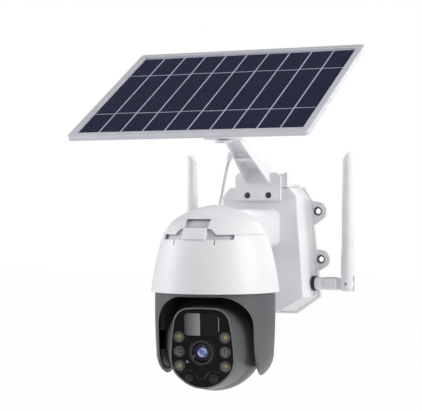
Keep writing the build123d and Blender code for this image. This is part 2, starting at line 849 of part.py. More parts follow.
def channel_solid(outline, inset):
    """The solid with a side outline of (y, z) between the channel's tapering sides, set in by inset."""
    ends = (-36, -126)
    plan_points = [(arm_half(y) - inset, y) for y in ends] + [(inset - arm_half(y), y) for y in reversed(ends)]
    with BuildPart(mode=Mode.PRIVATE) as solid:
        with BuildSketch(facing_right(0), mode=Mode.PRIVATE) as side:
            with BuildLine():
                Polyline(*outline, close=True)
            make_face()
        extrude(side.sketch, amount=20, both=True)
        with BuildSketch(Plane.XY.offset(40), mode=Mode.PRIVATE) as plan:
            with BuildLine():
                Polyline(*plan_points, close=True)
            make_face()
        extrude(plan.sketch, amount=80, mode=Mode.INTERSECT)
    return solid.part


# channel that rises from the box to the pad, with two cells that step up behind a shelf
pad_bottom_z = pad_top_z - pad_thick
channel = channel_solid(
    [
        (base_front_y + 1, 50.6),
        (pad_back_y + 0.7, pad_bottom_z),
        (pad_back_y - 6, pad_bottom_z),
        (pad_back_y - 6, pad_top_z - 0.2),
        (-99.2, pad_top_z - 0.2),
        (box_front_y, 67.1),
    ],
    0,
)
channel -= channel_solid(
    [(base_front_y, 46), (base_front_y, 66.2), (-54.8, 72.2), (-90, 72.2), (-90, 46)], arm_wall
)
channel -= channel_solid(
    [(-76.6, 74.6), (-76.6, 81.6), (-98.5, pad_bottom_z), (-120, pad_bottom_z), (-120, 74.6)], arm_wall
)
with BuildPart() as bracket_arm:
    # base plate on the box front
    with BuildSketch(facing_front(box_front_y)):
        with BuildLine():
            Polyline(
                (-base_half, base_bottom_z),
                (-base_half, base_top_z - 4),
                (-base_half + 4, base_top_z),
                (base_half - 4, base_top_z),
                (base_half, base_top_z - 4),
                (base_half, base_bottom_z),
                close=True,
            )
        make_face()
    extrude(amount=base_thick)
    # tongue over the top of the box, with a plate behind the base and a rib on the right
    with BuildSketch(Plane.XY.offset(47.7)):
        with Locations((3, (box_front_y - 4) / 2)):
            Rectangle(2 * base_half + 6, -box_front_y - 4)
    extrude(amount=2.5)
    with BuildSketch(facing_right(base_half + 3)):
        with Locations((box_front_y + 5, 55)):
            Rectangle(10, 14)
    extrude(amount=3)
    with BuildSketch(facing_front(box_front_y)):
        with Locations((3, 54)):
            Rectangle(2 * base_half + 6, 13)
    extrude(amount=-2.5)
    add(channel)
    # round pad
    with BuildSketch(Plane(origin=(0, pad_y, pad_top_z), z_dir=(0, 0, 1))):
        Circle(pad_r)
    extrude(amount=-pad_thick)
    with BuildSketch(Plane(origin=(0, pad_y, pad_top_z), z_dir=(0, 0, 1))):
        Circle(5)
    extrude(amount=-12, mode=Mode.SUBTRACT)
    with BuildSketch(facing_front(box_front_y)):
        with Locations((11.2, 39.6), (-11.2, 39.6)):
            Circle(1.7)
    extrude(amount=base_thick, mode=Mode.SUBTRACT)
    with BuildSketch(facing_front(box_front_y - 1.4)):
        with Locations((11.2, 39.6), (-11.2, 39.6)):
            Circle(3.2)
    extrude(amount=base_thick, mode=Mode.SUBTRACT)
save(bracket_arm, "bracket_arm")

with BuildPart() as bracket_screws:
    with BuildSketch(facing_front(box_front_y - 1.4)):
        with Locations((11.2, 39.6), (-11.2, 39.6)):
            Circle(3.0)
    extrude(amount=1.4)
    with BuildSketch(facing_front(box_front_y - 1.4)):
        with Locations((11.2, 39.6), (-11.2, 39.6)):
            Circle(1.5)
    extrude(amount=-9)
save(bracket_screws, "bracket_screws")

# gland that turns the lead down beside the arm
lead_start = Vector(*lead_route[0])
lead_drop = (Vector(*lead_route[1]) - lead_start).normalized()
gland_elbow = lead_start - lead_drop * 6
with BuildPart() as lead_gland:
    with BuildSketch(facing_right(0.1 - arm_half(gland_elbow.Y - 2.9), gland_elbow.Y, gland_elbow.Z)):
        Circle(2.9)
    extrude(amount=gland_elbow.X + arm_half(gland_elbow.Y - 2.9))
    with Locations(gland_elbow):
        Sphere(2.9)
    with BuildSketch(Plane(origin=gland_elbow, z_dir=lead_drop)):
        Circle(2.9)
    with BuildSketch(Plane(origin=lead_start, z_dir=lead_drop)):
        Circle(2.1)
    loft()
    with BuildSketch(Plane(origin=lead_start, z_dir=lead_drop)):
        Circle(lead_d / 2)
    extrude(amount=-4, mode=Mode.SUBTRACT)
    add(bracket_arm.part, mode=Mode.SUBTRACT)
save(lead_gland, "lead_gland")

# =============================================================== panel joint
with BuildPart() as swivel_base:
    with BuildSketch(Plane(origin=(0, pad_y, pad_top_z + 0.1), z_dir=(0, 0, 1))):
        Circle(16)
    extrude(amount=4)
    for side in (1, -1):
        with BuildSketch(facing_right(side * 8, pad_y, 0)):
            with BuildLine():
                Polyline((-9, hinge_z), (-11, pad_top_z + 3), (11, pad_top_z + 3), (9, hinge_z))
                ThreePointArc((9, hinge_z), (0, hinge_z + 9), (-9, hinge_z))
            make_face()
        extrude(amount=side * 4)
    with BuildSketch(facing_right(-20, pad_y, hinge_z)):
        Circle(bolt_r)
    extrude(amount=40, mode=Mode.SUBTRACT)
    # pivot that drops through the pad
    with BuildSketch(Plane(origin=(0, pad_y, pad_top_z + 2), z_dir=(0, 0, 1))):
        Circle(5 - running_gap)
    extrude(amount=-6.2)
save(swivel_base, "swivel_base")

with BuildPart() as swivel_nut:
    with BuildSketch(Plane(origin=(0, pad_y, pad_top_z - 4.2), z_dir=(0, 0, 1))):
        Circle(8)
    extrude(amount=-2.2)
save(swivel_nut, "swivel_nut")

panel_normal = Vector(0, -sin(radians(panel_tilt)), cos(radians(panel_tilt)))


def panel_plane(height):
    """A plane parallel to the panel, height above its top face, y up the slope."""
    return Plane(origin=Vector(*panel_centre) + panel_normal * height, x_dir=(1, 0, 0), z_dir=panel_normal)


hinge_drop = (panel_centre[2] - hinge_z) / cos(radians(panel_tilt))
with BuildPart() as panel_foot:
    with BuildSketch(panel_plane(-panel_thick)):
        RectangleRounded(64, 54, 6)
        with GridLocations(50, 40, 2, 2):
            Circle(1.7, mode=Mode.SUBTRACT)
    extrude(amount=-3)
    with BuildSketch(facing_right(0, pad_y, hinge_z)):
        Circle(8.4)
    extrude(amount=7.6, both=True)
    with BuildSketch(panel_plane(-panel_thick - 2)):
        Rectangle(15.2, 15)
    extrude(amount=-(hinge_drop - panel_thick - 2))
    with BuildSketch(facing_right(-20, pad_y, hinge_z)):
        Circle(bolt_r + running_gap)
    extrude(amount=40, mode=Mode.SUBTRACT)
save(panel_foot, "panel_foot")

with BuildPart() as foot_screws:
    with BuildSketch(panel_plane(-panel_thick - 3)):
        with GridLocations(50, 40, 2, 2):
            Circle(3)
    extrude(amount=-1.8)
    with BuildSketch(panel_plane(-panel_thick - 3)):
        with GridLocations(50, 40, 2, 2):
            Circle(1.6)
    extrude(amount=3)
save(foot_screws, "foot_screws")

with BuildPart() as tilt_bolt:
    with BuildSketch(facing_right(-12.2, pad_y, hinge_z)):
        Circle(bolt_r - running_gap)
    extrude(amount=28)
    with BuildSketch(facing_right(-12.2, pad_y, hinge_z)):
        RegularPolygon(5.5, 6)
    extrude(amount=-4)
save(tilt_bolt, "tilt_bolt")

with BuildPart() as tilt_knob:
    with BuildSketch(facing_right(12.3, pad_y, hinge_z)):
        Circle(7)
        with PolarLocations(8, 6):
            Circle(2.2)
        Circle(bolt_r, mode=Mode.SUBTRACT)
    extrude(amount=9)
save(tilt_knob, "tilt_knob")

# =============================================================== solar panel
inner_w = panel_w - 2 * rim_x
inner_d = panel_d - 2 * rim_y
with BuildPart() as panel_frame:
    with BuildSketch(panel_plane(0)):
        RectangleRounded(panel_w, panel_d, 3)
        Rectangle(inner_w, inner_d, mode=Mode.SUBTRACT)
    extrude(amount=-panel_thick)
    with BuildSketch(panel_plane(-panel_thick)):
        RectangleRounded(panel_w - 4, panel_d - 4, 2)
        Rectangle(inner_w - 8, inner_d - 8, mode=Mode.SUBTRACT)
    extrude(amount=1.2)
save(panel_frame, "panel_frame")

with BuildPart() as panel_back:
    with BuildSketch(panel_plane(-2.4)):
        Rectangle(inner_w - 0.2, inner_d - 0.2)
    extrude(amount=-1.4)
save(panel_back, "panel_back")

cell_pitch = inner_w / cell_count
with BuildPart() as solar_cells:
    with BuildSketch(panel_plane(-2.4)):
        with GridLocations(cell_pitch, 1, cell_count, 1):
            Rectangle(cell_pitch - cell_gap, inner_d - 3)
    extrude(amount=0.6)
save(solar_cells, "solar_cells")

with BuildPart() as panel_glass:
    with BuildSketch(panel_plane(-1.5)):
        Rectangle(inner_w - 0.2, inner_d - 0.2)
    extrude(amount=1.1)
save(panel_glass, "panel_glass")

with BuildPart() as junction_box:
    with BuildSketch(panel_plane(-3.9)):
        with Locations((0, 52)):
            RectangleRounded(44, 26, 4)
    extrude(amount=-10)
    fillet(junction_box.edges().group_by(Axis(panel_centre, panel_normal))[0], 2)
save(junction_box, "junction_box")


# =============================================================== antennas
def antenna(side):
    """The swivelling stub, the pin and the rod of the antenna on one side."""
    tag = "right" if side > 0 else "left"
    with BuildPart() as stub:
        with BuildSketch(facing_right(side * 59.6, antenna_y, antenna_z)):
            Circle(stub_r)
        extrude(amount=side * 14.4)
        chamfer(stub.edges().filter_by(GeomType.CIRCLE), 0.6)
        with BuildSketch(facing_right(side * 59.6, antenna_y, antenna_z)):
            Circle(3 + running_gap)
        extrude(amount=side * 7, mode=Mode.SUBTRACT)
        with BuildSketch(facing_front(antenna_y, 0, antenna_z)):
            with Locations((side * antenna_x, 0)):
                Circle(5.8)
            with Locations((side * (antenna_x - 6), 0)):
                Rectangle(12, 11.6)
        extrude(amount=2.4, both=True)
        with BuildSketch(facing_front(antenna_y, side * antenna_x, antenna_z)):
            Circle(1.5 + running_gap)
        extrude(amount=5, both=True, mode=Mode.SUBTRACT)
    save(stub, f"antenna_stub_{tag}")

    with BuildPart() as pin:
        with BuildSketch(facing_front(antenna_y, side * antenna_x, antenna_z)):
            Circle(1.5)
        extrude(amount=6, both=True)
    save(pin, f"antenna_pin_{tag}")

    with BuildPart() as rod:
        with BuildSketch(facing_front(antenna_y, side * antenna_x, 0)):
            with BuildLine():
                Polyline((0, antenna_bottom_z), (rod_r_low - 2.2, antenna_bottom_z))
                ThreePointArc(
                    (rod_r_low - 2.2, antenna_bottom_z),
                    (rod_r_low - 0.6, antenna_bottom_z + 0.9),
                    (rod_r_low, antenna_bottom_z + 3),
                )
                Polyline(
                    (rod_r_low, antenna_bottom_z + 3),
                    (rod_r_low, -30),
                    (5.9, -11.5),
                    (5.9, -5),
                    (5.5, 30),
                    (rod_r_high, 66),
                    (rod_r_high, antenna_top_z),
                    (0, antenna_top_z),
                    (0, antenna_bottom_z),
                )
            make_face()
        revolve(axis=Axis((side * antenna_x, antenna_y, 0), (0, 0, 1)))
        # grip rings
        for z in (-10.4, -8.2, -6.0, 56.5, 60.0, 63.5):
            with BuildSketch(Plane(origin=(side * antenna_x, antenna_y, z), z_dir=(0, 0, 1))):
                Circle(8)
                Circle(5.35 if z < 0 else 4.7, mode=Mode.SUBTRACT)
            extrude(amount=0.8, mode=Mode.SUBTRACT)
        # slanted tip, its peak on the outer side
        with BuildSketch(facing_front(antenna_y, side * antenna_x, 0)):
            with BuildLine():
                Polyline(
                    (side * 3.4, antenna_top_z + 1),
                    (-side * 8, antenna_top_z - 11),
                    (-side * 8, antenna_top_z + 1),
                    close=True,
                )
            make_face()
        extrude(amount=10, both=True, mode=Mode.SUBTRACT)
        # fork round the stub's tongue
        with BuildSketch(facing_front(antenna_y, side * antenna_x, 0)):
            with Locations((0, antenna_z - 12.2)):
                Rectangle(20, 40)
        extrude(amount=2.6, both=True, mode=Mode.SUBTRACT)
        with BuildSketch(facing_front(antenna_y, side * antenna_x, antenna_z)):
            Circle(1.5)
        extrude(amount=8, both=True, mode=Mode.SUBTRACT)
    save(rod, f"antenna_rod_{tag}")


for side in (1, -1):
    antenna(side)

with BuildPart() as antenna_sockets:
    for side in (1, -1):
        with BuildSketch(facing_right(side * 51.2, antenna_y, antenna_z)):
            Circle(6.2)
        extrude(amount=side * 8.2)
        with BuildSketch(facing_right(side * 59.4, antenna_y, antenna_z)):
            Circle(3)
        extrude(amount=side * 6)
        with BuildSketch(facing_right(side * 42, antenna_y, antenna_z)):
            Circle(4)
        extrude(amount=side * 10)
save(antenna_sockets, "antenna_sockets")

with BuildPart() as antenna_seals:
    for side in (1, -1):
        with BuildSketch(facing_right(side * 48.3, antenna_y, antenna_z)):
            Circle(7.2)
            Circle(4, mode=Mode.SUBTRACT)
        extrude(amount=side * 2.9)
save(antenna_seals, "antenna_seals")

# =============================================================== charging lead
route = [Vector(*point) for point in lead_route]
runs = [(b - a).length for a, b in zip(route, route[1:])]
bends = []
for i in range(1, len(route) - 1):
    turn = (route[i] - route[i - 1]).get_angle(route[i + 1] - route[i])
    bends.append(0.45 * min(runs[i - 1], runs[i]) / tan(radians(turn / 2)))
print("lead runs", [round(r, 1) for r in runs])
print("lead bend radii", [round(r, 1) for r in bends])
with BuildPart() as solar_lead:
    with BuildLine() as lead_line:
        FilletPolyline(*route, radius=bends)
    with BuildSketch(Plane(origin=route[0], z_dir=route[1] - route[0])):
        Circle(lead_d / 2)
    sweep()
lead_length = lead_line.wires()[0].length
print("lead length", round(lead_length, 1), "volume ratio",
      round(solar_lead.part.volume / (pi * lead_d ** 2 / 4 * lead_length), 4))
save(solar_lead, "solar_lead")

plug_direction = (route[-1] - route[-2]).normalized()
with BuildPart() as solar_plug:
    with BuildSketch(Plane(origin=route[-1], z_dir=plug_direction)):
        Circle(2.6)
    with BuildSketch(Plane.XY.offset(-86.0)):
        with Locations((socket_x, socket_y)):
            Circle(4.8)
    loft()
    with BuildSketch(Plane.XY.offset(-86.0)):
        with Locations((socket_x, socket_y)):
            Circle(4.8)
    extrude(amount=6)
    with BuildSketch(Plane.XY.offset(-80.0)):
        with Locations((socket_x, socket_y)):
            Circle(3.1)
    extrude(amount=9)
save(solar_plug, "solar_plug")
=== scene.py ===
import bmesh
import bpy
import json
from math import atan2, cos, pi, radians, sin, sqrt, tau
from mathutils import Matrix, Vector


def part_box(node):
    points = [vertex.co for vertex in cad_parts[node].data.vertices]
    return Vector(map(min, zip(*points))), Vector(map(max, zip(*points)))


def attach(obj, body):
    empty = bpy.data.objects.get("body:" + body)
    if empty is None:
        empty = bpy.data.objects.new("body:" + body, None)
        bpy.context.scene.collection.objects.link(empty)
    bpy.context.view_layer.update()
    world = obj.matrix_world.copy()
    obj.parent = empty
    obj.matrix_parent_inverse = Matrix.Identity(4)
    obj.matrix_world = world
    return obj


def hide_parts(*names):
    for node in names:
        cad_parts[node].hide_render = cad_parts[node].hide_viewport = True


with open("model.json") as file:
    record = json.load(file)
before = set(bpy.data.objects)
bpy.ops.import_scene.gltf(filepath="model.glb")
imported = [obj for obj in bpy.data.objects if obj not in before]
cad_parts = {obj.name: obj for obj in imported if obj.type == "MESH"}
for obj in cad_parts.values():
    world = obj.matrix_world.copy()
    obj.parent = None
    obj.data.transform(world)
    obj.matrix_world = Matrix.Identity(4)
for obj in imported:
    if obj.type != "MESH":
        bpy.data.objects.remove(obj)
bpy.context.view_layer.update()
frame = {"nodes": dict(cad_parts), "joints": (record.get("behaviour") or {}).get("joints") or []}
nodes = frame["nodes"]
joints = {joint["name"]: joint for joint in frame["joints"]}
MM = 0.001


# ---------------------------------------------------------------- places read from the frame
pan_centre = Vector(joints["head_pan"]["pos_m"])
ball_centre = Vector(joints["ball_tilt"]["pos_m"])
head_right = Vector(joints["ball_tilt"]["axis"]).normalized()
head_front = Vector((head_right.y, -head_right.x, 0.0))
TILT_REST = radians(4.0)
face_normal = head_front * cos(TILT_REST) - Vector((0, 0, sin(TILT_REST)))
face_up = face_normal.cross(head_right)
PANEL_TILT = radians(30.36)
panel_up = Vector((0.0, cos(PANEL_TILT), sin(PANEL_TILT)))
panel_normal = Vector((0.0, -sin(PANEL_TILT), cos(PANEL_TILT)))


def axes_matrix(origin, x_dir, y_dir):
    """A matrix whose x and y run along two square directions from an origin."""
    x, y = Vector(x_dir).normalized(), Vector(y_dir).normalized()
    z = x.cross(y)
    m = Matrix((x, y, z)).transposed().to_4x4()
    m.translation = Vector(origin)
    return m


def on_face(x, y, depth):
    """The matrix of a place on the camera's face, in millimetres, z out of the face."""
    origin = ball_centre + (head_right * x + face_up * y + face_normal * depth) * MM
    return axes_matrix(origin, head_right, face_up)


panel_low, panel_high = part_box("panel_frame")
panel_middle = (panel_low + panel_high) / 2
panel_top = panel_middle + panel_normal * 2.5 * MM


def on_panel(x, y, height):
    """The matrix of a place on the panel, in millimetres from the middle of its top face."""
    origin = panel_top + (Vector((1, 0, 0)) * x + panel_up * y + panel_normal * height) * MM
    return axes_matrix(origin, (1, 0, 0), panel_up)


# ---------------------------------------------------------------- materials
def node_tree(name):
    """A new node material: its tree, its shader and its object coordinates."""
    mat = bpy.data.materials.new(name)
    mat.use_nodes = True
    tree = mat.node_tree
    shader = tree.nodes["Principled BSDF"]
    coords = tree.nodes.new("ShaderNodeTexCoord")
    return mat, tree, shader, coords.outputs["Object"]


def noise(tree, coords, scale, detail=3.0, roughness=0.5):
    """A noise texture at a scale per metre."""
    n = tree.nodes.new("ShaderNodeTexNoise")
    n.inputs["Scale"].default_value = scale
    n.inputs["Detail"].default_value = detail
    n.inputs["Roughness"].default_value = roughness
    tree.links.new(coords, n.inputs["Vector"])
    return n.outputs["Fac"]


def ramp(tree, factor, low, high, at=(0.35, 0.65)):
    """A colour or grey that runs from low to high as factor goes through at."""
    r = tree.nodes.new("ShaderNodeValToRGB")
    r.color_ramp.elements[0].position = at[0]
    r.color_ramp.elements[1].position = at[1]
    r.color_ramp.elements[0].color = (*low, 1) if len(low) == 3 else low
    r.color_ramp.elements[1].color = (*high, 1) if len(high) == 3 else high
    tree.links.new(factor, r.inputs["Fac"])
    return r.outputs["Color"]


def bump(tree, shader, height, strength, distance):
    """Raise the shader's surface by a height signal; distance is in metres."""
    b = tree.nodes.new("ShaderNodeBump")
    b.inputs["Strength"].default_value = strength
    b.inputs["Distance"].default_value = distance
    tree.links.new(height, b.inputs["Height"])
    tree.links.new(b.outputs["Normal"], shader.inputs["Normal"])


def plastic(name, colour, rough, spread=0.03, grain=1400.0, grain_depth=0.00002, coat=0.0, shine=0.5):
    """Moulded plastic: slight colour drift, and grain in its gloss and its surface."""
    mat, tree, shader, coords = node_tree(name)
    dark = tuple(max(0.0, c * (1 - spread)) for c in colour)
    light = tuple(min(1.0, c * (1 + spread)) for c in colour)
    drift = ramp(tree, noise(tree, coords, 28.0), dark, light)
    tree.links.new(drift, shader.inputs["Base Color"])
    gloss = ramp(tree, noise(tree, coords, 60.0, 2.0), (rough * 0.95,) * 3, (min(1, rough * 1.05),) * 3)
    tree.links.new(gloss, shader.inputs["Roughness"])
    shader.inputs["Specular IOR Level"].default_value = shine
    shader.inputs["Coat Weight"].default_value = coat
    shader.inputs["Coat Roughness"].default_value = 0.08
    bump(tree, shader, noise(tree, coords, grain, 2.0), 0.25, grain_depth)
    return mat


def metal(name, colour, rough, grain=900.0):
    """Turned or drawn metal with fine marks."""
    mat, tree, shader, coords = node_tree(name)
    shader.inputs["Metallic"].default_value = 1.0
    tint = ramp(tree, noise(tree, coords, 260.0, 4.0), [c * 0.8 for c in colour], colour)
    tree.links.new(tint, shader.inputs["Base Color"])
    gloss = ramp(tree, noise(tree, coords, grain, 4.0), (rough * 0.7,) * 3, (min(1, rough * 1.4),) * 3)
    tree.links.new(gloss, shader.inputs["Roughness"])
    bump(tree, shader, noise(tree, coords, grain, 3.0), 0.2, 0.00002)
    return mat


def clear(name, tint, gloss_rough=0.03, gloss_share=1.0):
    """Thin clear glass or lens plastic: see-through, with reflections that grow at the edges."""
    mat, tree, shader, coords = node_tree(name)
    tree.nodes.remove(shader)
    through = tree.nodes.new("ShaderNodeBsdfTransparent")
    through.inputs["Color"].default_value = (*tint, 1)
    gloss = tree.nodes.new("ShaderNodeBsdfGlossy")
    gloss.inputs["Color"].default_value = (1, 1, 1, 1)
    rough = ramp(tree, noise(tree, coords, 90.0), (gloss_rough * 0.6,) * 3, (gloss_rough * 1.5,) * 3)
    tree.links.new(rough, gloss.inputs["Roughness"])
    fresnel = tree.nodes.new("ShaderNodeFresnel")
    fresnel.inputs["IOR"].default_value = 1.45
    scale = tree.nodes.new("ShaderNodeMath")
    scale.operation = "MULTIPLY_ADD"
    scale.inputs[1].default_value = gloss_share
    scale.inputs[2].default_value = 0.0
    tree.links.new(fresnel.outputs["Fac"], scale.inputs[0])
    mix = tree.nodes.new("ShaderNodeMixShader")
    tree.links.new(scale.outputs[0], mix.inputs[0])
    tree.links.new(through.outputs[0], mix.inputs[1])
    tree.links.new(gloss.outputs[0], mix.inputs[2])
    tree.links.new(mix.outputs[0], tree.nodes["Material Output"].inputs["Surface"])
    return mat


def panel_coords(tree, coords):
    """Coordinates that lie in the panel's plane."""
    mapping = tree.nodes.new("ShaderNodeMapping")
    mapping.vector_type = "POINT"
    mapping.inputs["Rotation"].default_value = (-PANEL_TILT, 0, 0)
    tree.links.new(coords, mapping.inputs["Vector"])
    return mapping.outputs["Vector"]


def silicon(name):
    """Polycrystalline silicon: navy grains of slightly different blues, with fine collector lines."""
    mat, tree, shader, coords = node_tree(name)
    flat = panel_coords(tree, coords)
    grains = tree.nodes.new("ShaderNodeTexVoronoi")
    grains.inputs["Scale"].default_value = 170.0
    tree.links.new(flat, grains.inputs["Vector"])
    grey = tree.nodes.new("ShaderNodeRGBToBW")
    tree.links.new(grains.outputs["Color"], grey.inputs[0])
    blue = ramp(tree, grey.outputs[0], (0.0055, 0.0070, 0.031), (0.0105, 0.0125, 0.055), (0.2, 0.8))
    lines = tree.nodes.new("ShaderNodeTexWave")
    lines.wave_type = "BANDS"
    lines.bands_direction = "X"
    lines.inputs["Scale"].default_value = 160.0
    lines.inputs["Distortion"].default_value = 0.0
    tree.links.new(flat, lines.inputs["Vector"])
    mask = ramp(tree, lines.outputs["Fac"], (0, 0, 0), (1, 1, 1), (0.93, 0.99))
    mix = tree.nodes.new("ShaderNodeMix")
    mix.data_type = "RGBA"
    tree.links.new(mask, mix.inputs[0])
    tree.links.new(blue, mix.inputs[6])
    mix.inputs[7].default_value = (0.045, 0.05, 0.085, 1)
    tree.links.new(mix.outputs[2], shader.inputs["Base Color"])
    rough = ramp(tree, grey.outputs[0], (0.38,) * 3, (0.52,) * 3)
    tree.links.new(rough, shader.inputs["Roughness"])
    shader.inputs["Specular IOR Level"].default_value = 0.06
    bump(tree, shader, grey.outputs[0], 0.15, 0.00005)
    return mat


def measure(tree, coords, centre, direction=None):
    """A distance in metres: from a centre, or along a direction from it."""
    away = tree.nodes.new("ShaderNodeVectorMath")
    away.operation = "SUBTRACT"
    tree.links.new(coords, away.inputs[0])
    away.inputs[1].default_value = centre
    last = tree.nodes.new("ShaderNodeVectorMath")
    tree.links.new(away.outputs[0], last.inputs[0])
    if direction is None:
        last.operation = "LENGTH"
    else:
        last.operation = "DOT_PRODUCT"
        last.inputs[1].default_value = direction
    return last.outputs["Value"]


def bands(tree, value, low, high, stops):
    """Colours at stops from low to high of a measured value; each stop is (place, colour)."""
    scale = tree.nodes.new("ShaderNodeMapRange")
    scale.inputs["From Min"].default_value = low
    scale.inputs["From Max"].default_value = high
    tree.links.new(value, scale.inputs["Value"])
    r = tree.nodes.new("ShaderNodeValToRGB")
    while len(r.color_ramp.elements) < len(stops):
        r.color_ramp.elements.new(0.5)
    for element, (place, colour) in zip(r.color_ramp.elements, stops):
        element.position = place
        element.color = (*colour, 1)
    tree.links.new(scale.outputs["Result"], r.inputs["Fac"])
    return r.outputs["Color"]


def painted_glint_arc(tree, coords, place, radius, width, turn):
    """A painted glint: a soft arc of a circle about a place on the lens, on the side that turn points to."""
    matrix = on_face(*place, 42.0)
    distance = measure(tree, coords, matrix.translation)
    ring = bands(tree, distance, (radius - width) * MM, (radius + width) * MM, [
        (0.0, (0, 0, 0)), (0.5, (1, 1, 1)), (1.0, (0, 0, 0)),
    ])
    direction = matrix.to_3x3() @ Vector((cos(turn), sin(turn), 0))
    side = bands(tree, measure(tree, coords, matrix.translation, direction), 0.0, radius * MM, [
        (0.0, (0, 0, 0)), (1.0, (1, 1, 1)),
    ])
    both = tree.nodes.new("ShaderNodeMath")
    both.operation = "MULTIPLY"
    tree.links.new(ring, both.inputs[0])
    tree.links.new(side, both.inputs[1])
    return both.outputs[0]


def coated_lens_painted_glints(name):
    """A lens whose coating runs from blue in the middle to violet at the edge, with a bright blue ring
    painted in as reflection and white crescents painted in as glints.
    """
    mat, tree, shader, coords = node_tree(name)
    radius = measure(tree, coords, on_face(*LENS_PLACE, 42.0).translation)
    # the coating's blue to violet, with the bright blue ring at 0.34 as a painted reflection
    tint = bands(tree, radius, 0.0, 6.6 * MM, [
        (0.0, (0.02, 0.03, 0.16)), (0.2, (0.03, 0.06, 0.32)), (0.34, (0.10, 0.22, 0.72)),
        (0.55, (0.03, 0.08, 0.42)), (0.74, (0.04, 0.03, 0.16)), (1.0, (0.006, 0.005, 0.02)),
    ])
    x, y = LENS_PLACE
    # white-blue crescents laid over the tint: painted glints
    glint_arcs = [((x + 0.5, y + 0.3), 3.1, 1.1, 0.9), ((x - 0.4, y - 0.5), 3.0, 1.1, 3.9), ((x, y), 1.2, 0.7, 0.6)]
    for place, size, width, turn in glint_arcs:
        mix = tree.nodes.new("ShaderNodeMix")
        mix.data_type = "RGBA"
        tree.links.new(painted_glint_arc(tree, coords, place, size, width, turn), mix.inputs[0])
        tree.links.new(tint, mix.inputs[6])
        mix.inputs[7].default_value = (0.85, 0.92, 1.0, 1)
        tint = mix.outputs[2]
    tree.links.new(tint, shader.inputs["Base Color"])
    wipe = ramp(tree, noise(tree, coords, 300.0), (0.02,) * 3, (0.05,) * 3)
    tree.links.new(wipe, shader.inputs["Roughness"])
    shader.inputs["Specular IOR Level"].default_value = 0.9
    shader.inputs["Coat Weight"].default_value = 0.6
    shader.inputs["Coat Roughness"].default_value = 0.02
    return mat


def yoke_grey_painted_inner_shade(name):
    """Satin grey outside, with painted shade: near black on the inner faces of the opening, where shade
    falls, divided by the distance from the pan axis.
    """
    mat, tree, shader, coords = node_tree(name)
    flat = tree.nodes.new("ShaderNodeVectorMath")
    flat.operation = "MULTIPLY"
    flat.inputs[1].default_value = (1, 1, 0)
    tree.links.new(coords, flat.inputs[0])
    radius = measure(tree, flat.outputs[0], (0, pan_centre.y, 0))
    drop = tree.nodes.new("ShaderNodeSeparateXYZ")
    tree.links.new(coords, drop.inputs[0])
    narrowing = bands(tree, drop.outputs["Z"], -0.082, -0.127, [
        (0.0, (0.0,) * 3), (0.533, (0.09,) * 3), (0.8, (0.33,) * 3), (0.978, (0.92,) * 3),
        (1.0, (1.0,) * 3),
    ])
    total = tree.nodes.new("ShaderNodeMath")
    total.operation = "MULTIPLY_ADD"
    tree.links.new(narrowing, total.inputs[0])
    total.inputs[1].default_value = 0.013
    tree.links.new(radius, total.inputs[2])
    # near black on the inner faces: painted shade
    tint = bands(tree, total.outputs[0], 0.0525, 0.0555, [
        (0.0, (0.004, 0.004, 0.0045)), (0.3, (0.004, 0.004, 0.0045)), (0.5, (0.10, 0.102, 0.109)),
        (1.0, (0.11, 0.112, 0.12)),
    ])
    tree.links.new(tint, shader.inputs["Base Color"])
    shine = bands(tree, total.outputs[0], 0.0525, 0.0555, [(0.3, (0.05,) * 3), (0.5, (0.5,) * 3)])
    tree.links.new(shine, shader.inputs["Specular IOR Level"])
    gloss = ramp(tree, noise(tree, coords, 60.0, 2.0), (0.31,) * 3, (0.34,) * 3)
    tree.links.new(gloss, shader.inputs["Roughness"])
    return mat


def frosted_pane_painted_reflection(name):
    """A frosted pane whose grey runs from near black at its outer edge to light grey inside: a painted
    reflection.
    """
    mat, tree, shader, coords = node_tree(name)
    across = measure(tree, coords, ball_centre, head_right)
    # grey across the pane: painted reflection
    tint = bands(tree, across, -0.0165, -0.0015, [
        (0.0, (0.035, 0.035, 0.038)), (0.35, (0.13, 0.13, 0.14)), (1.0, (0.30, 0.30, 0.32)),
    ])
    tree.links.new(tint, shader.inputs["Base Color"])
    gloss = ramp(tree, noise(tree, coords, 200.0, 4.0), (0.28,) * 3, (0.40,) * 3)
    tree.links.new(gloss, shader.inputs["Roughness"])
    bump(tree, shader, noise(tree, coords, 2600.0, 2.0), 0.2, 0.00002)
    return mat


LENS_PLACE = (-0.5, -4.1)
WHITE = plastic("white_abs", (0.81, 0.81, 0.835), 0.45, 0.012)
WHITE_ARM = plastic("white_nylon", (0.84, 0.84, 0.86), 0.40, 0.012, 1100.0, 0.00003)
ROD_WHITE = plastic("white_antenna", (0.82, 0.82, 0.85), 0.36, 0.012, coat=0.1)
GREY = plastic("grey_satin", (0.095, 0.097, 0.104), 0.31, 0.03, 400.0, 0.000001, coat=0.1)
YOKE_GREY = yoke_grey_painted_inner_shade("yoke_grey_painted_inner_shade")
GLOSS_BLACK = plastic("gloss_black", (0.004, 0.004, 0.005), 0.10, 0.2, 500.0, 0.000003, shine=0.14)
SATIN_BLACK = plastic("satin_black", (0.008, 0.008, 0.009), 0.22, 0.2, 700.0, 0.000003, shine=0.4)
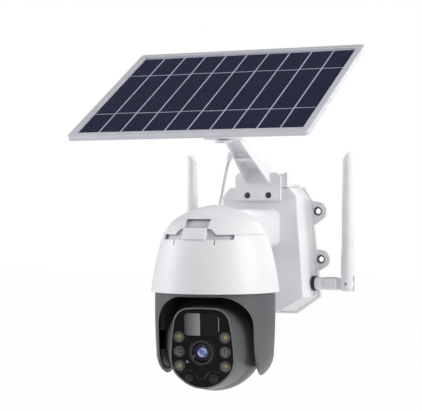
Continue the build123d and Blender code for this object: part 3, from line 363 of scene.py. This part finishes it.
# light grey rim colour: painted edge highlight
RIM_HIGHLIGHT_GREY = plastic("face_rim_painted_highlight", (0.19, 0.19, 0.20), 0.25, 0.05, 900.0, 0.000003, shine=0.6)
BLACK = plastic("moulded_black", (0.018, 0.018, 0.020), 0.45, 0.2)
RUBBER = plastic("black_rubber", (0.014, 0.014, 0.015), 0.75, 0.25, 2200.0, 0.00005)
LEAD = plastic("white_pvc", (0.66, 0.66, 0.68), 0.42, 0.03, 900.0, 0.00003)
RIM = plastic("panel_rim_grey", (0.66, 0.665, 0.72), 0.42, 0.03, 1300.0, 0.00003)
SHEET = plastic("back_sheet", (0.62, 0.62, 0.64), 0.55, 0.03, 700.0, 0.00004)
WRAP = plastic("cell_wrap_blue", (0.03, 0.16, 0.34), 0.3, 0.05)
BOARD = plastic("circuit_green", (0.015, 0.13, 0.05), 0.35, 0.2, 600.0, 0.00006)
STEEL = metal("turned_steel", (0.55, 0.55, 0.57), 0.3)
DARK_STEEL = metal("blackened_steel", (0.10, 0.10, 0.105), 0.4)
RIBBON = plastic("tinned_ribbon", (0.50, 0.51, 0.62), 0.35, 0.06, 1500.0, 0.00004)
SILICON = silicon("silicon_navy")
COVER_GLASS = clear("cover_glass", (0.98, 0.985, 1.0), 0.22, 0.055)
LENS = coated_lens_painted_glints("coated_lens_painted_glints")
LAMP_GLASS = clear("lamp_glass", (0.98, 0.97, 0.94), 0.03, 1.0)
FROST_PAINTED_REFLECTION = frosted_pane_painted_reflection("frosted_window_painted_reflection")
SMOKE = plastic("smoked_window", (0.005, 0.005, 0.007), 0.07, 0.2, 300.0, 0.000003, shine=0.22)
REFLECTOR = plastic("reflector_cup", (0.46, 0.46, 0.47), 0.25, 0.1, 700.0, 0.00002)
CUP_RING = plastic("reflector_ring", (0.72, 0.72, 0.72), 0.25, 0.1, 700.0, 0.00002)
# grey, not white: painted shade in the hood's recess
POCKET_SHADE = plastic("hood_pocket_painted_shade", (0.58, 0.58, 0.60), 0.5, 0.04)
GAP = plastic("cell_gap_white", (0.60, 0.62, 0.76), 0.5, 0.05)
LAMP_RIM = plastic("lamp_rim_grey", (0.13, 0.13, 0.135), 0.25, 0.1, 900.0, 0.00001)
PHOSPHOR = plastic("warm_phosphor", (0.88, 0.74, 0.30), 0.45, 0.06, 900.0, 0.00003)
CHIP = plastic("infrared_chip", (0.48, 0.47, 0.50), 0.4, 0.1, 900.0, 0.00003)

node_materials = {
    WHITE: "battery_box rear_cover neck_arm hood_cap hood_skirt hood_latch",
    WHITE_ARM: "bracket_arm swivel_base panel_foot tilt_knob lead_gland power_button swivel_nut",
    ROD_WHITE: "antenna_rod_left antenna_rod_right antenna_stub_left antenna_stub_right antenna_sockets",
    GREY: "ball_front ball_back",
    YOKE_GREY: "yoke",
    GLOSS_BLACK: "face_plate",
    BLACK: "lens_barrel lens_ring junction_box battery_holder tilt_motor yoke_bushes"
           " charge_socket pan_gear pan_pinion pan_hub",
    RUBBER: "box_seal antenna_seals",
    STEEL: "cover_screws plate_screws foot_screws tilt_bolt antenna_pin_left antenna_pin_right"
           " pan_motor pan_bearing hub_retainer motor_plate tilt_axles",
    DARK_STEEL: "bracket_screws",
    WRAP: "battery_cells",
    BOARD: "main_board lamp_board",
    LEAD: "solar_lead solar_plug",
    RIM: "panel_frame",
    SHEET: "panel_back",
    SILICON: "solar_cells",
    COVER_GLASS: "panel_glass",
    LENS: "lens_glass",
    LAMP_GLASS: "warm_lamps clear_lamps",
    FROST_PAINTED_REFLECTION: "sensor_window",
    SMOKE: "lamp_window",
}


def finish_node(node, mat, edge=0.35, angle=32):
    """Give a CAD node its material, and rounded edges unless edge is 0."""
    obj = nodes[node]
    obj.data.materials.clear()
    obj.data.materials.append(mat)
    if edge:
        obj.data.polygons.foreach_set("use_smooth", [True] * len(obj.data.polygons))
        weld = obj.modifiers.new("weld", "WELD")
        weld.merge_threshold = 0.00001
        bevel = obj.modifiers.new("edges", "BEVEL")
        bevel.width = edge * MM
        bevel.segments = 2
        bevel.limit_method = "ANGLE"
        bevel.angle_limit = radians(angle)
        bevel.harden_normals = True
        bevel.use_clamp_overlap = True


# width of the rounded edges in millimetres; the default is 0.3, and 0 keeps the imported normals
edge_sizes = {"neck_arm": 0.5, "panel_frame": 0.6, "hood_latch": 0.5}
edge_sizes.update(dict.fromkeys((
    "battery_box rear_cover hood_skirt hood_cap yoke ball_front ball_back face_plate lens_ring lens_barrel"
    " lens_glass sensor_window lamp_window panel_glass solar_cells pan_gear pan_pinion antenna_rod_left"
    " antenna_rod_right bracket_arm"
).split(), 0.0))
for mat, names in node_materials.items():
    for name in names.split():
        finish_node(name, mat, edge_sizes.get(name, 0.3))


# ---------------------------------------------------------------- mesh helpers
def add_piece(name, mesh, mat, body, matrix=None, smooth=True):
    """Turn a bmesh into a piece that rides on a body."""
    data = bpy.data.meshes.new(name)
    bmesh.ops.recalc_face_normals(mesh, faces=mesh.faces)
    mesh.to_mesh(data)
    mesh.free()
    if matrix is not None:
        data.transform(matrix)
    if smooth:
        data.polygons.foreach_set("use_smooth", [True] * len(data.polygons))
    obj = bpy.data.objects.new(name, data)
    bpy.context.scene.collection.objects.link(obj)
    data.materials.append(mat)
    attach(obj, body)
    return obj


def bevelled(obj, width, segments=2, angle=32):
    """Round a piece's sharp edges by width, in millimetres."""
    bevel = obj.modifiers.new("edges", "BEVEL")
    bevel.width = width * MM
    bevel.segments = segments
    bevel.limit_method = "ANGLE"
    bevel.angle_limit = radians(angle)
    bevel.harden_normals = True
    return obj


def lathe(mesh, profile, sides=64, centre=(0.0, 0.0)):
    """Turn a closed profile of (radius, height) in millimetres about z; a radius of 0 makes one vertex."""
    rings = []
    for r, h in profile:
        if r == 0:
            rings.append([mesh.verts.new((centre[0] * MM, centre[1] * MM, h * MM))])
        else:
            rings.append([
                mesh.verts.new(((centre[0] + r * cos(tau * i / sides)) * MM,
                                (centre[1] + r * sin(tau * i / sides)) * MM, h * MM))
                for i in range(sides)
            ])
    for a, b in zip(rings, rings[1:] + rings[:1]):
        for i in range(sides):
            j = (i + 1) % sides
            corners = [a[i % len(a)], a[j % len(a)], b[j % len(b)], b[i % len(b)]]
            unique = list(dict.fromkeys(corners))
            if len(unique) >= 3:
                mesh.faces.new(unique)


def block(mesh, size, centre, turn=0.0):
    """Add a box of a size in millimetres, turned about z."""
    made = bmesh.ops.create_cube(mesh, size=1.0)
    m = Matrix.Translation(Vector(centre) * MM) @ Matrix.Rotation(turn, 4, "Z")
    m = m @ Matrix.Diagonal((size[0] * MM, size[1] * MM, size[2] * MM, 1))
    bmesh.ops.transform(mesh, matrix=m, verts=made["verts"])


def tube(name, places, radius, mat, rounding, smoothness=12, closed=False):
    """A round tube along places: a smooth NURBS line, or a closed line of short straight runs."""
    data = bpy.data.curves.new(name, "CURVE")
    data.dimensions = "3D"
    data.bevel_depth = radius
    data.bevel_resolution = rounding
    data.resolution_u = smoothness
    data.use_fill_caps = not closed
    line = data.splines.new("POLY" if closed else "NURBS")
    line.points.add(len(places) - 1)
    for point, place in zip(line.points, places):
        point.co = (*place, 1)
    if closed:
        line.use_cyclic_u = True
    else:
        line.order_u = 3
        line.use_endpoint_u = True
    obj = bpy.data.objects.new(name, data)
    bpy.context.scene.collection.objects.link(obj)
    data.materials.append(mat)
    return obj


# ---------------------------------------------------------------- lead
lead_d = 2.8 * MM
lead_points = [
    (-17.4, -73.0, 72.6), (-19.6, -73.0, 65.0), (-22.6, -73.0, 50.0), (-27.2, -72.4, 30.0),
    (-31.4, -70.6, 6.0), (-34.4, -67.2, -18.0), (-36.0, -62.6, -42.0), (-36.2, -58.9, -64.0),
    (-35.7, -57.0, -79.0), (-35.4, -56.4, -90.0), (-35.2, -56.1, -100.4), (-32.2, -52.0, -109.6),
    (-26.8, -44.5, -115.0), (-20.6, -35.9, -115.0), (-15.2, -28.4, -109.6), (-12.1, -24.1, -100.4),
    (-12.0, -24.0, -90.4),
]
lead = tube("lead", [Vector(place) * MM for place in lead_points], lead_d / 2, LEAD, 6, 16)
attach(lead, "housing")
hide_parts("solar_lead")

# ---------------------------------------------------------------- face details
def face_piece(name, mesh, mat, smooth=True):
    """A piece built in the face's own frame, in millimetres, that rides on the ball."""
    return add_piece(name, mesh, mat, "ball", on_face(0, 0, 0), smooth)


def ring_profile(inner, outer, low, high, edge):
    """A ring's section with its front corners rounded by edge."""
    return [
        (inner, low), (outer, low), (outer, high - edge), (outer - edge * 0.3, high - edge * 0.3),
        (outer - edge, high), (inner + edge, high), (inner + edge * 0.3, high - edge * 0.3),
        (inner, high - edge),
    ]


lamp_x = 21.3
lamp_rows = (9.7, -3.4, -16.4)
lamp_sites = [(side * lamp_x, y, y != lamp_rows[1]) for side in (-1, 1) for y in lamp_rows]
bezels, cups, cup_rings, domes = (bmesh.new() for _ in range(4))
emitters = {True: bmesh.new(), False: bmesh.new()}
for x, y, warm in lamp_sites:
    lathe(bezels, ring_profile(4.25, 4.95, 43.6, 45.25, 0.35), 40, (x, y))
    lathe(cups, [(4.2, 44.3), (3.7, 43.2), (2.8, 42.2), (2.4, 41.3), (2.3, 39.6), (4.2, 39.6)], 40, (x, y))
    lathe(cup_rings, ring_profile(3.05, 3.4, 42.4, 43.15, 0.15), 40, (x, y))
    chip = 2.25 if warm else 1.5
    lathe(emitters[warm], [
        (0, 39.7), (chip, 39.7), (chip, 40.6), (chip * 0.92, 40.9), (chip * 0.6, 41.15),
        (chip * 0.25, 41.25), (0, 41.3),
    ], 32, (x, y))
    lathe(domes, [
        (0, 43.7), (4.2, 43.7), (4.2, 44.4), (3.9, 44.75), (3.3, 45.05), (2.4, 45.3), (1.3, 45.45),
        (0, 45.5),
    ], 40, (x, y))
face_piece("lamp_bezels", bezels, LAMP_RIM)
face_piece("lamp_cups", cups, REFLECTOR)
face_piece("lamp_cup_rings", cup_rings, CUP_RING)
warm_chips = face_piece("warm_emitters", emitters[True], PHOSPHOR)
clear_chips = face_piece("clear_emitters", emitters[False], CHIP)
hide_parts("warm_lamps")
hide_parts("clear_lamps")
face_piece("lamp_domes", domes, LAMP_GLASS)

# lens: a stepped well, a bright inner ring and a domed front element
well = bmesh.new()
lathe(well, [
    (12.4, 45.0), (12.5, 45.7), (12.1, 46.1), (11.5, 46.1), (11.2, 45.7), (10.4, 45.0), (9.3, 44.8),
    (8.7, 44.1), (8.6, 43.6), (7.6, 43.4), (7.5, 42.8), (6.75, 42.6), (6.7, 42.0), (6.7, 41.4),
    (9.0, 41.4), (9.0, 43.0), (9.1, 45.0),
], 72, LENS_PLACE)
face_piece("lens_well", well, GLOSS_BLACK)
trim = bmesh.new()
lathe(trim, ring_profile(6.35, 6.75, 41.8, 42.75, 0.15), 64, LENS_PLACE)
face_piece("lens_trim", trim, DARK_STEEL)
front_glass = bmesh.new()
lathe(front_glass, [(0, 40.2), (6.3, 40.2), (6.3, 41.5)] + [
    (6.3 * cos(radians(a)), 41.5 + 1.9 * sin(radians(a))) for a in (12, 24, 36, 48, 60, 70, 80)
] + [(0, 43.4)], 64, LENS_PLACE)
glass = face_piece("lens_front", front_glass, LENS)
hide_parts("lens_glass")

# raised lip that waves over the two bumps at the bottom of the face
lip_points = [
    (-22.0, -23.6), (-19.0, -21.6), (-15.8, -20.6), (-12.4, -20.2), (-9.0, -21.2), (-6.0, -24.4),
    (-3.2, -27.4), (-0.8, -28.4), (1.6, -27.4), (4.2, -24.4), (7.2, -21.2), (10.6, -20.2),
    (14.0, -20.8), (17.2, -22.2), (20.2, -24.6),
]
lip_places = [on_face(x, y, 44.85).translation for x, y in lip_points]
lip = tube("face_lip", lip_places, 0.55 * MM, SATIN_BLACK, 3, 8)
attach(lip, "ball")

# thin rounded rim where the ball's shell meets the face; its light grey is a painted edge highlight
rim_corners = [
    (-11, 36.2), (11, 36.2), (26.6, 23.5), (30.2, -10),
    (19.6, -29.4), (-19.6, -29.4), (-30.2, -10), (-26.6, 23.5),
]
rim_middles = [
    (0, 36.6), (21.8, 32.4), (29.2, 7), (27.2, -21.2),
    (0, -36.8), (-27.2, -21.2), (-29.2, 7), (-21.8, 32.4),
]


def arc_places(start, middle, end, steps):
    """Places along the circular arc through three points; the end is left out."""
    (ax, ay), (bx, by), (cx, cy) = start, middle, end
    d = 2 * (ax * (by - cy) + bx * (cy - ay) + cx * (ay - by))
    a2, b2, c2 = ax * ax + ay * ay, bx * bx + by * by, cx * cx + cy * cy
    ux = (a2 * (by - cy) + b2 * (cy - ay) + c2 * (ay - by)) / d
    uy = (a2 * (cx - bx) + b2 * (ax - cx) + c2 * (bx - ax)) / d
    radius = sqrt((ax - ux) ** 2 + (ay - uy) ** 2)
    first = atan2(ay - uy, ax - ux)
    sweep = (atan2(cy - uy, cx - ux) - first + pi) % tau - pi
    return [(ux + radius * cos(first + sweep * i / steps), uy + radius * sin(first + sweep * i / steps))
            for i in range(steps)]


rim_inset, rim_steps = 0.85, 10
rim_places = []
for i, (corner, middle) in enumerate(zip(rim_corners, rim_middles)):
    next_corner = rim_corners[(i + 1) % len(rim_corners)]
    for x, y in arc_places(corner, middle, next_corner, rim_steps):
        inward = 1 - rim_inset / sqrt(x * x + y * y)
        rim_places.append(on_face(x * inward, y * inward, 44.85).translation)
rim = tube("face_rim", rim_places, 0.42 * MM, RIM_HIGHLIGHT_GREY, 3, closed=True)
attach(rim, "ball")

microphone, speaker = (-12.6, -27.4), (10.4, -27.4)
bumps = bmesh.new()
for place, r in ((microphone, 3.7), (speaker, 4.3)):
    lathe(bumps, [
        (0, 44.6), (r, 44.6), (r, 44.95), (r * 0.93, 45.25), (r * 0.75, 45.5), (r * 0.45, 45.62), (0, 45.66),
    ], 40, place)
face_piece("face_bumps", bumps, SATIN_BLACK)
ports = bmesh.new()
lathe(ports, ring_profile(0.7, 1.15, 45.45, 45.85, 0.12), 24, microphone)
for size in ((4.6, 0.75, 0.5), (0.75, 4.6, 0.5)):
    block(ports, size, (*speaker, 45.55))
for x, y in ((1.6, 1.6), (-1.6, 1.6), (1.6, -1.6), (-1.6, -1.6)):
    stud = [(0, 45.2), (0.42, 45.2), (0.42, 45.72), (0, 45.76)]
    lathe(ports, stud, 12, (speaker[0] + x, speaker[1] + y))
bevelled(face_piece("sound_ports", ports, RUBBER, False), 0.1)

# light grey strip down the window's right side, a painted highlight, and a bright ring round the light sensor
highlight_strip_and_ring = bmesh.new()
block(highlight_strip_and_ring, (0.35, 13.0, 0.25), (15.9, 21.4, 45.05))
lathe(highlight_strip_and_ring, ring_profile(0.75, 1.15, 44.7, 45.15, 0.15), 24, (-13.9, -12.6))
bevelled(face_piece("face_highlight_strip_and_ring", highlight_strip_and_ring, CHIP, False), 0.1)

# ---------------------------------------------------------------- solar cells' ribbons and gaps
cell_count = 10
cell_pitch = 222.8 / cell_count
cell_length = 158.0
ribbon_place = 40.7
ribbons = bmesh.new()
for i in range(cell_count):
    x = (i - (cell_count - 1) / 2) * cell_pitch
    for side in (-1, 1):
        stagger = 0.45 * sin(2.3 * i + side)
        block(ribbons, (cell_pitch - 1.6, 1.15, 0.16), (x, side * ribbon_place + stagger, -1.68))
for i in range(cell_count - 1):
    x = (i - (cell_count - 2) / 2) * cell_pitch
    for side in (-1, 1):
        block(ribbons, (2.6, 0.8, 0.14), (x, side * ribbon_place, -1.69))
gaps = bmesh.new()
for i in range(cell_count - 1):
    block(gaps, (1.35, cell_length, 0.1), ((i - (cell_count - 2) / 2) * cell_pitch, 0, -1.66))
add_piece("cell_gaps", gaps, GAP, "panel", on_panel(0, 0, 0), False)
add_piece("cell_ribbons", ribbons, RIBBON, "panel", on_panel(0, 0, 0), False)

# ---------------------------------------------------------------- hood pocket behind the latch, grey as painted shade of the white liner in the recess
hood_outline = [
    (24.0, 23.9), (32.6, 20.0), (39.2, 15.0), (43.0, 10.9), (45.75, 6.7), (48.2, 2.0), (50.0, -3.0),
    (51.9, -10.0),
]
pocket = bmesh.new()
pocket_inset, pocket_wall, pocket_half, pocket_sides = 2.9, 0.8, radians(66), 52


def pocket_row(points, inset):
    """The pocket's rows of vertices for a section, set in from the hood's outer face."""
    rows = []
    (r1, z1), (r2, z2) = points[-2:]
    beyond = (2 * r2 - r1, 2 * z2 - z1)
    for (r, z), (r2, z2) in zip(points, points[1:] + [beyond]):
        slope = Vector((r2 - r, z2 - z)).normalized()
        place = Vector((r, z)) + Vector((slope.y, -slope.x)) * inset
        rows.append([
            pocket.verts.new((place.x * sin(t) * MM, pan_centre.y - place.x * cos(t) * MM, place.y * MM))
            for t in [pocket_half * (2 * j / pocket_sides - 1) for j in range(pocket_sides + 1)]
        ])
    return rows


outer_rows = pocket_row(hood_outline, pocket_inset)
inner_rows = pocket_row(hood_outline, pocket_inset + pocket_wall)
for rows in (outer_rows, inner_rows):
    for a, b in zip(rows, rows[1:]):
        for j in range(pocket_sides):
            pocket.faces.new((a[j], a[j + 1], b[j + 1], b[j]))
edge_out, edge_in = (
    rows[0] + [row[-1] for row in rows[1:-1]] + rows[-1][::-1] + [row[0] for row in rows[-2:0:-1]]
    for rows in (outer_rows, inner_rows)
)
for j in range(len(edge_out)):
    k = (j + 1) % len(edge_out)
    pocket.faces.new((edge_out[j], edge_out[k], edge_in[k], edge_in[j]))
add_piece("hood_pocket", pocket, POCKET_SHADE, "housing")

# ---------------------------------------------------------------- dark steel rings in the screw lugs' counterbores; their dark is painted shade of the counterbores
lug_holes = [(49.0, 23.9), (52.3, -23.9)]
counterbore_shade_rings = bmesh.new()
for x, z in lug_holes:
    for side in (-1, 1):
        lathe(counterbore_shade_rings, ring_profile(2.8, 4.3, 2.05, 2.9, 0.25), 40, (side * x, z))
wall_front = axes_matrix((0, 0, 0), (1, 0, 0), (0, 0, 1))
add_piece("lug_counterbore_shade_rings", counterbore_shade_rings, DARK_STEEL, "housing", wall_front)

# ---------------------------------------------------------------- camera, lights and floor
cam_data = bpy.data.cameras.new("camera")
cam = bpy.data.objects.new("camera", cam_data)
bpy.context.scene.collection.objects.link(cam)
bpy.context.scene.camera = cam
cam_data.lens = 125.73
cam_data.sensor_width = 36.0
cam.location = (0.5618, -1.3835, 0.0232)
cam.rotation_euler = (radians(90.25), 0, radians(24.53))


def area_light(name, place, target, size, power, colour=(1, 1, 1)):
    """A soft square light that faces a target."""
    data = bpy.data.lights.new(name, "AREA")
    data.energy = power
    data.size = size
    data.color = colour
    obj = bpy.data.objects.new(name, data)
    obj.location = place
    obj.rotation_mode = "QUATERNION"
    obj.rotation_quaternion = (Vector(target) - Vector(place)).to_track_quat("-Z", "Y")
    bpy.context.scene.collection.objects.link(obj)


middle = (0, -0.12, 0)
area_light("key_right", (1.6, -0.15, 0.65), middle, 0.8, 18.5, (1.0, 0.995, 0.985))
area_light("fill_left", (-1.5, -0.6, 0.5), middle, 0.8, 14, (0.975, 0.985, 1.0))
area_light("top_front", (0.1, -1.3, 1.1), middle, 0.6, 4.0)
area_light("back", (0.3, 1.4, 0.6), middle, 1.0, 6)

world = bpy.data.worlds.new("studio")
bpy.context.scene.world = world
world.use_nodes = True
world_tree = world.node_tree
world_shader = world_tree.nodes["Background"]
world_coords = world_tree.nodes.new("ShaderNodeTexCoord").outputs["Generated"]
world_split = world_tree.nodes.new("ShaderNodeSeparateXYZ")
world_tree.links.new(world_coords, world_split.inputs[0])
world_height = world_tree.nodes.new("ShaderNodeMapRange")
world_height.inputs["From Min"].default_value = 0.0
world_height.inputs["From Max"].default_value = 0.9
world_height.inputs["To Min"].default_value = 0.48
world_height.inputs["To Max"].default_value = 0.14
world_tree.links.new(world_split.outputs["Z"], world_height.inputs["Value"])
world_seen = world_tree.nodes.new("ShaderNodeLightPath")
world_mix = world_tree.nodes.new("ShaderNodeMix")
world_tree.links.new(world_seen.outputs["Is Camera Ray"], world_mix.inputs["Factor"])
world_tree.links.new(world_height.outputs["Result"], world_mix.inputs["A"])
world_mix.inputs["B"].default_value = 1.0
world_shader.inputs["Color"].default_value = (1, 1, 1, 1)
world_tree.links.new(world_mix.outputs["Result"], world_shader.inputs["Strength"])
bpy.context.scene.view_settings.view_transform = "Standard"

floor_mesh = bmesh.new()
bmesh.ops.create_grid(floor_mesh, x_segments=1, y_segments=1, size=6.0)
floor_data = bpy.data.meshes.new("floor")
floor_mesh.to_mesh(floor_data)
floor_mesh.free()
floor = bpy.data.objects.new("floor", floor_data)
floor.location = (0, 0, -0.32)
bpy.context.scene.collection.objects.link(floor)
floor_mat, floor_tree, floor_shader, floor_coords = node_tree("floor_white")
floor_tint = ramp(floor_tree, noise(floor_tree, floor_coords, 1.5), (0.985, 0.985, 0.985), (1.0, 1.0, 1.0))
floor_tree.links.new(floor_tint, floor_shader.inputs["Base Color"])
floor_shader.inputs["Roughness"].default_value = 0.9
floor_glow = floor_tree.nodes.new("ShaderNodeEmission")
floor_tree.links.new(floor_tint, floor_glow.inputs["Color"])
floor_mix = floor_tree.nodes.new("ShaderNodeMixShader")
floor_seen = floor_tree.nodes.new("ShaderNodeLightPath")
floor_tree.links.new(floor_seen.outputs["Is Camera Ray"], floor_mix.inputs[0])
floor_tree.links.new(floor_shader.outputs[0], floor_mix.inputs[1])
floor_tree.links.new(floor_glow.outputs[0], floor_mix.inputs[2])
floor_tree.links.new(floor_mix.outputs[0], floor_tree.nodes["Material Output"].inputs["Surface"])
floor_data.materials.append(floor_mat)
